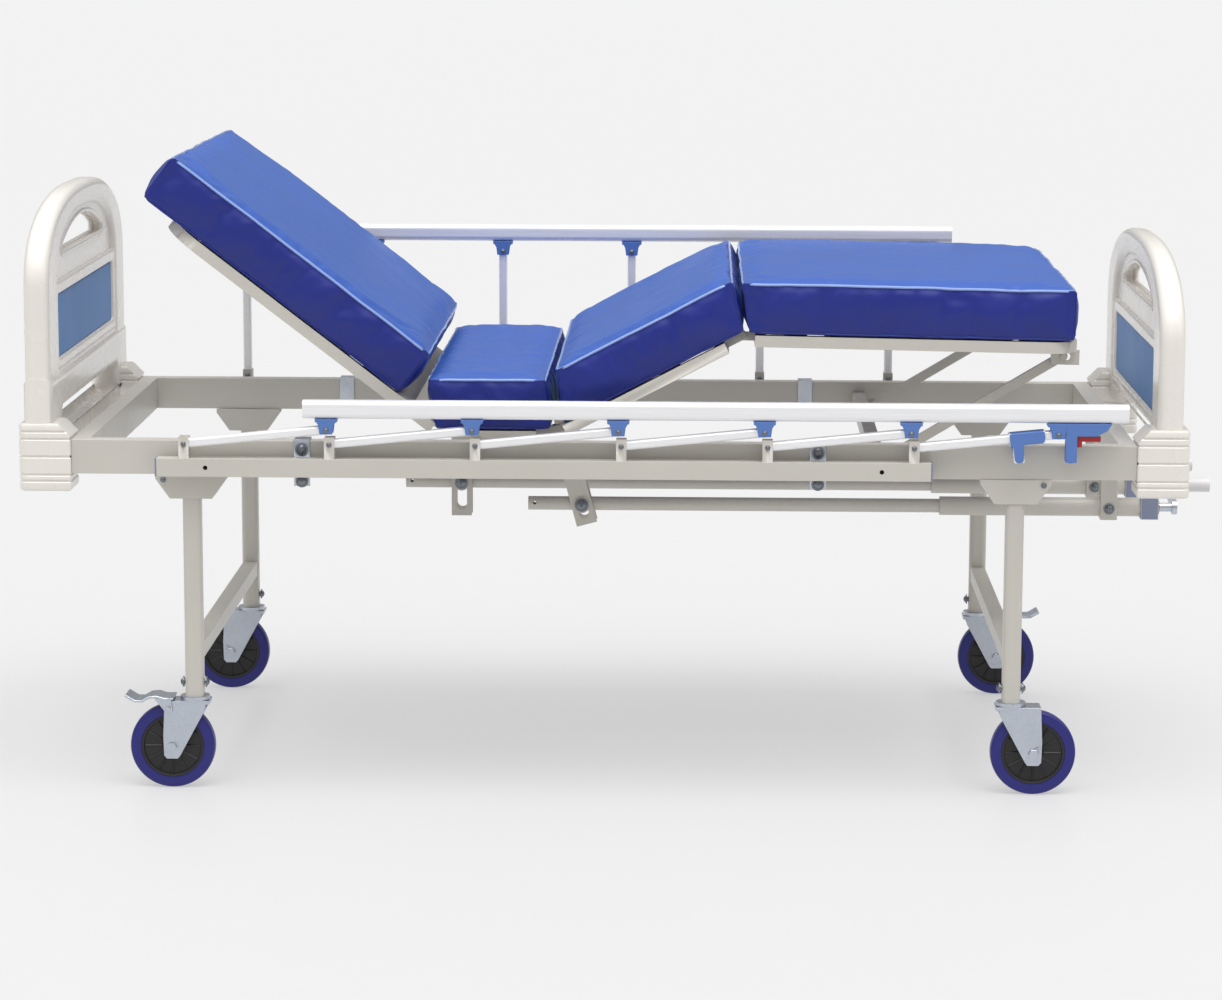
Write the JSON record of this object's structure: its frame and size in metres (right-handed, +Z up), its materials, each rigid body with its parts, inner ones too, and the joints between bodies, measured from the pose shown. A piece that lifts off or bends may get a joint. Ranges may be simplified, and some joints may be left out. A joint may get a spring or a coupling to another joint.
{
  "type": "manual hospital bed",
  "caption": "Two-crank hospital bed with folding guard rails, moulded end boards, a sectional mattress and braked swivel casters.",
  "frame": {"origin": "on the floor under the middle of the whole part, crank grips included", "axes": "+X from the head to the foot of the bed, +Y to the far side with the raised guard rail, +Z up"},
  "size_m": [2.13, 0.948, 1.1169],
  "materials": {
    "frame_paint": "warm ivory powder coat, semi-gloss",
    "board_plastic": "moulded cream ABS, soft gloss",
    "board_panel_blue": "smooth blue insert sheet",
    "mattress_vinyl": "royal blue coated nylon over foam",
    "guard_aluminium": "satin anodised extrusion",
    "fitting_blue": "blue nylon mouldings",
    "trigger_red": "red nylon moulding",
    "cap_grey": "grey-blue plugs",
    "zinc": "bright zinc plated pressed steel",
    "bolt_steel": "dull plated bolt heads",
    "grip_plastic": "pale moulded grips",
    "wheel_tyre": "blue polyurethane tread on a black hub"
  },
  "bodies": {
    "root": {"side_rails": "frame_paint", "end_tubes": "frame_paint", "cross_members": "frame_paint", "legs": "frame_paint", "leg_bracing": "frame_paint", "corner_bumpers": "board_plastic", "head_board": "board_plastic", "head_board_panel": "board_panel_blue", "foot_board": "board_plastic", "foot_board_panel": "board_panel_blue", "base_bars": "frame_paint", "base_bar_caps": "cap_grey", "rail_clamps": "zinc", "fasteners": "bolt_steel", "seat_deck": "frame_paint", "seat_mattress": "mattress_vinyl", "crank_sleeves": "frame_paint", "crank_brackets": "frame_paint", "caster_stems": "zinc"},
    "backrest": {"backrest_frame": "frame_paint"},
    "backrest_pad": {"backrest_mattress": "mattress_vinyl"},
    "thigh_section": {"thigh_frame": "frame_paint", "thigh_mattress": "mattress_vinyl"},
    "leg_section": {"leg_frame": "frame_paint", "leg_mattress": "mattress_vinyl"},
    "leg_support": {"swing_bars": "frame_paint"},
    "back_drive": {"back_push_tube": "frame_paint"},
    "knee_drive": {"knee_push_tube": "frame_paint"},
    "back_crank": {"back_crank": "zinc"},
    "back_grip": {"back_crank_grip": "grip_plastic"},
    "knee_crank": {"knee_crank": "zinc"},
    "knee_grip": {"knee_crank_grip": "grip_plastic"},
    "near_upright_1": {"near_upright_1": "guard_aluminium"},
    "near_upright_2": {"near_upright_2": "guard_aluminium"},
    "near_upright_3": {"near_upright_3": "guard_aluminium"},
    "near_upright_4": {"near_upright_4": "guard_aluminium"},
    "near_upright_5": {"near_upright_5": "guard_aluminium"},
    "near_upright_6": {"near_upright_6": "guard_aluminium"},
    "near_top_rail": {"near_top_rail": "guard_aluminium", "near_rail_fittings": "fitting_blue"},
    "near_trigger": {"near_trigger": "trigger_red"},
    "far_upright_1": {"far_upright_1": "guard_aluminium"},
    "far_upright_2": {"far_upright_2": "guard_aluminium"},
    "far_upright_3": {"far_upright_3": "guard_aluminium"},
    "far_upright_4": {"far_upright_4": "guard_aluminium"},
    "far_upright_5": {"far_upright_5": "guard_aluminium"},
    "far_upright_6": {"far_upright_6": "guard_aluminium"},
    "far_top_rail": {"far_top_rail": "guard_aluminium", "far_rail_fittings": "fitting_blue"},
    "far_trigger": {"far_trigger": "trigger_red"},
    "near_head_caster": {"near_head_fork": "zinc"},
    "near_head_wheel": {"near_head_wheel": "wheel_tyre"},
    "far_head_caster": {"far_head_fork": "zinc"},
    "far_head_wheel": {"far_head_wheel": "wheel_tyre"},
    "near_foot_caster": {"near_foot_fork": "zinc"},
    "near_foot_wheel": {"near_foot_wheel": "wheel_tyre"},
    "far_foot_caster": {"far_foot_fork": "zinc"},
    "far_foot_wheel": {"far_foot_wheel": "wheel_tyre"},
    "near_head_brake": {"near_head_brake": "zinc"},
    "far_foot_brake": {"far_foot_brake": "zinc"}
  },
  "joints": [
    {"name": "backrest_hinge", "type": "hinge", "parent": "root", "child": "backrest", "pos_m": [-0.325, 0, 0.626], "axis": [0, 1, 0], "range_deg": [-37.5, 37.5]},
    {"name": "backrest_pad_slide", "type": "slide", "parent": "backrest", "child": "backrest_pad", "axis": [-0.7934, 0, 0.6088], "range_m": [-0.088, 0.088]},
    {"name": "thigh_hinge", "type": "hinge", "parent": "root", "child": "thigh_section", "pos_m": [-0.133, 0, 0.626], "axis": [0, -1, 0], "range_deg": [-27.5, 12.5]},
    {"name": "knee_hinge", "type": "hinge", "parent": "thigh_section", "child": "leg_section", "pos_m": [0.19519, 0, 0.79685], "axis": [0, -1, 0], "range_deg": [-13.8, 29.9]},
    {"name": "leg_support_hinge", "type": "hinge", "parent": "root", "child": "leg_support", "pos_m": [0.465, 0, 0.59], "axis": [0, -1, 0], "range_deg": [-26.8, 12.3]},
    {"name": "back_drive_slide", "type": "slide", "parent": "root", "child": "back_drive", "axis": [-1, 0, 0], "range_m": [-0.119, 0.119]},
    {"name": "knee_drive_slide", "type": "slide", "parent": "root", "child": "knee_drive", "axis": [1, 0, 0], "range_m": [-0.082, 0.038]},
    {"name": "back_crank_spin", "type": "hinge", "parent": "root", "child": "back_crank", "pos_m": [0.945, 0.124, 0.465], "axis": [1, 0, 0], "range_deg": [-2656, 2656]},
    {"name": "knee_crank_spin", "type": "hinge", "parent": "root", "child": "knee_crank", "pos_m": [0.945, -0.124, 0.465], "axis": [1, 0, 0], "range_deg": [-1831, 835]},
    {"name": "back_grip_spin", "type": "hinge", "parent": "back_crank", "child": "back_grip", "pos_m": [1.025, 0.22588, 0.4904], "axis": [1, 0, 0], "continuous": true},
    {"name": "knee_grip_spin", "type": "hinge", "parent": "knee_crank", "child": "knee_grip", "pos_m": [1.025, -0.02212, 0.4904], "axis": [1, 0, 0], "continuous": true},
    {"name": "near_guard_swing", "type": "hinge", "parent": "root", "child": "near_upright_4", "pos_m": [-0.0115, -0.46, 0.6215], "axis": [0, -1, 0], "range_deg": [0, 84.2]},
    {"name": "near_upright_1_hinge", "type": "hinge", "parent": "root", "child": "near_upright_1", "pos_m": [-0.7705, -0.46, 0.6215], "axis": [0, -1, 0], "range_deg": [-0.5, 84.7]},
    {"name": "near_upright_2_hinge", "type": "hinge", "parent": "root", "child": "near_upright_2", "pos_m": [-0.5175, -0.46, 0.6215], "axis": [0, -1, 0], "range_deg": [-0.5, 84.7]},
    {"name": "near_upright_3_hinge", "type": "hinge", "parent": "root", "child": "near_upright_3", "pos_m": [-0.2645, -0.46, 0.6215], "axis": [0, -1, 0], "range_deg": [-0.5, 84.7]},
    {"name": "near_upright_5_hinge", "type": "hinge", "parent": "root", "child": "near_upright_5", "pos_m": [0.2415, -0.46, 0.6215], "axis": [0, -1, 0], "range_deg": [-0.5, 84.7]},
    {"name": "near_upright_6_hinge", "type": "hinge", "parent": "root", "child": "near_upright_6", "pos_m": [0.4945, -0.46, 0.6215], "axis": [0, -1, 0], "range_deg": [-0.5, 84.7]},
    {"name": "near_top_rail_hinge", "type": "hinge", "parent": "near_upright_4", "child": "near_top_rail", "pos_m": [0.23622, -0.46, 0.64666], "axis": [0, -1, 0], "range_deg": [-84.7, 0.5]},
    {"name": "near_trigger_press", "type": "hinge", "parent": "near_top_rail", "child": "near_trigger", "pos_m": [0.78422, -0.46, 0.65166], "axis": [0, -1, 0], "range_deg": [0, 8], "stiffness_Nm_per_rad": 0.4, "springref_deg": -5.73},
    {"name": "far_guard_swing", "type": "hinge", "parent": "root", "child": "far_upright_4", "pos_m": [-0.0115, 0.46, 0.6215], "axis": [0, 1, 0], "range_deg": [0, 84.2]},
    {"name": "far_upright_1_hinge", "type": "hinge", "parent": "root", "child": "far_upright_1", "pos_m": [-0.7705, 0.46, 0.6215], "axis": [0, 1, 0], "range_deg": [-0.5, 84.7]},
    {"name": "far_upright_2_hinge", "type": "hinge", "parent": "root", "child": "far_upright_2", "pos_m": [-0.5175, 0.46, 0.6215], "axis": [0, 1, 0], "range_deg": [-0.5, 84.7]},
    {"name": "far_upright_3_hinge", "type": "hinge", "parent": "root", "child": "far_upright_3", "pos_m": [-0.2645, 0.46, 0.6215], "axis": [0, 1, 0], "range_deg": [-0.5, 84.7]},
    {"name": "far_upright_5_hinge", "type": "hinge", "parent": "root", "child": "far_upright_5", "pos_m": [0.2415, 0.46, 0.6215], "axis": [0, 1, 0], "range_deg": [-0.5, 84.7]},
    {"name": "far_upright_6_hinge", "type": "hinge", "parent": "root", "child": "far_upright_6", "pos_m": [0.4945, 0.46, 0.6215], "axis": [0, 1, 0], "range_deg": [-0.5, 84.7]},
    {"name": "far_top_rail_hinge", "type": "hinge", "parent": "far_upright_4", "child": "far_top_rail", "pos_m": [-0.0115, 0.46, 0.8705], "axis": [0, 1, 0], "range_deg": [-84.7, 0.5]},
    {"name": "far_trigger_press", "type": "hinge", "parent": "far_top_rail", "child": "far_trigger", "pos_m": [0.5365, 0.46, 0.8755], "axis": [0, -1, 0], "range_deg": [0, 8], "stiffness_Nm_per_rad": 0.4, "springref_deg": -5.73},
    {"name": "near_head_swivel", "type": "hinge", "parent": "root", "child": "near_head_caster", "pos_m": [-0.764, -0.415, 0.155], "axis": [0, 0, 1], "continuous": true},
    {"name": "near_head_wheel_spin", "type": "hinge", "parent": "near_head_caster", "child": "near_head_wheel", "pos_m": [-0.804, -0.415, 0.075], "axis": [0, 1, 0], "continuous": true},
    {"name": "far_head_swivel", "type": "hinge", "parent": "root", "child": "far_head_caster", "pos_m": [-0.764, 0.415, 0.155], "axis": [0, 0, 1], "continuous": true},
    {"name": "far_head_wheel_spin", "type": "hinge", "parent": "far_head_caster", "child": "far_head_wheel", "pos_m": [-0.804, 0.415, 0.075], "axis": [0, 1, 0], "continuous": true},
    {"name": "near_foot_swivel", "type": "hinge", "parent": "root", "child": "near_foot_caster", "pos_m": [0.674, -0.415, 0.155], "axis": [0, 0, 1], "continuous": true},
    {"name": "near_foot_wheel_spin", "type": "hinge", "parent": "near_foot_caster", "child": "near_foot_wheel", "pos_m": [0.714, -0.415, 0.075], "axis": [0, 1, 0], "continuous": true},
    {"name": "far_foot_swivel", "type": "hinge", "parent": "root", "child": "far_foot_caster", "pos_m": [0.674, 0.415, 0.155], "axis": [0, 0, 1], "continuous": true},
    {"name": "far_foot_wheel_spin", "type": "hinge", "parent": "far_foot_caster", "child": "far_foot_wheel", "pos_m": [0.714, 0.415, 0.075], "axis": [0, 1, 0], "continuous": true},
    {"name": "near_head_brake_press", "type": "hinge", "parent": "near_head_caster", "child": "near_head_brake", "pos_m": [-0.808, -0.415, 0.146], "axis": [0, -1, 0], "range_deg": [0, 10]},
    {"name": "far_foot_brake_press", "type": "hinge", "parent": "far_foot_caster", "child": "far_foot_brake", "pos_m": [0.718, 0.415, 0.146], "axis": [0, 1, 0], "range_deg": [0, 10]}
  ],
  "couplings": [
    {"joint": "backrest_pad_slide", "follows": "backrest_hinge", "m_per_rad": 0.134},
    {"joint": "knee_hinge", "follows": "thigh_hinge", "ratio": -1.0775},
    {"joint": "leg_support_hinge", "follows": "thigh_hinge", "ratio": 0.9625},
    {"joint": "back_drive_slide", "follows": "backrest_hinge", "m_per_rad": 0.18},
    {"joint": "knee_drive_slide", "follows": "thigh_hinge", "m_per_rad": 0.169},
    {"joint": "back_crank_spin", "follows": "backrest_hinge", "ratio": 70.686},
    {"joint": "knee_crank_spin", "follows": "thigh_hinge", "ratio": 66.366},
    {"joint": "near_upright_1_hinge", "follows": "near_guard_swing", "ratio": 1},
    {"joint": "near_upright_2_hinge", "follows": "near_guard_swing", "ratio": 1},
    {"joint": "near_upright_3_hinge", "follows": "near_guard_swing", "ratio": 1},
    {"joint": "near_upright_5_hinge", "follows": "near_guard_swing", "ratio": 1},
    {"joint": "near_upright_6_hinge", "follows": "near_guard_swing", "ratio": 1},
    {"joint": "near_top_rail_hinge", "follows": "near_guard_swing", "ratio": -1},
    {"joint": "far_upright_1_hinge", "follows": "far_guard_swing", "ratio": 1},
    {"joint": "far_upright_2_hinge", "follows": "far_guard_swing", "ratio": 1},
    {"joint": "far_upright_3_hinge", "follows": "far_guard_swing", "ratio": 1},
    {"joint": "far_upright_5_hinge", "follows": "far_guard_swing", "ratio": 1},
    {"joint": "far_upright_6_hinge", "follows": "far_guard_swing", "ratio": 1},
    {"joint": "far_top_rail_hinge", "follows": "far_guard_swing", "ratio": -1}
  ]
}
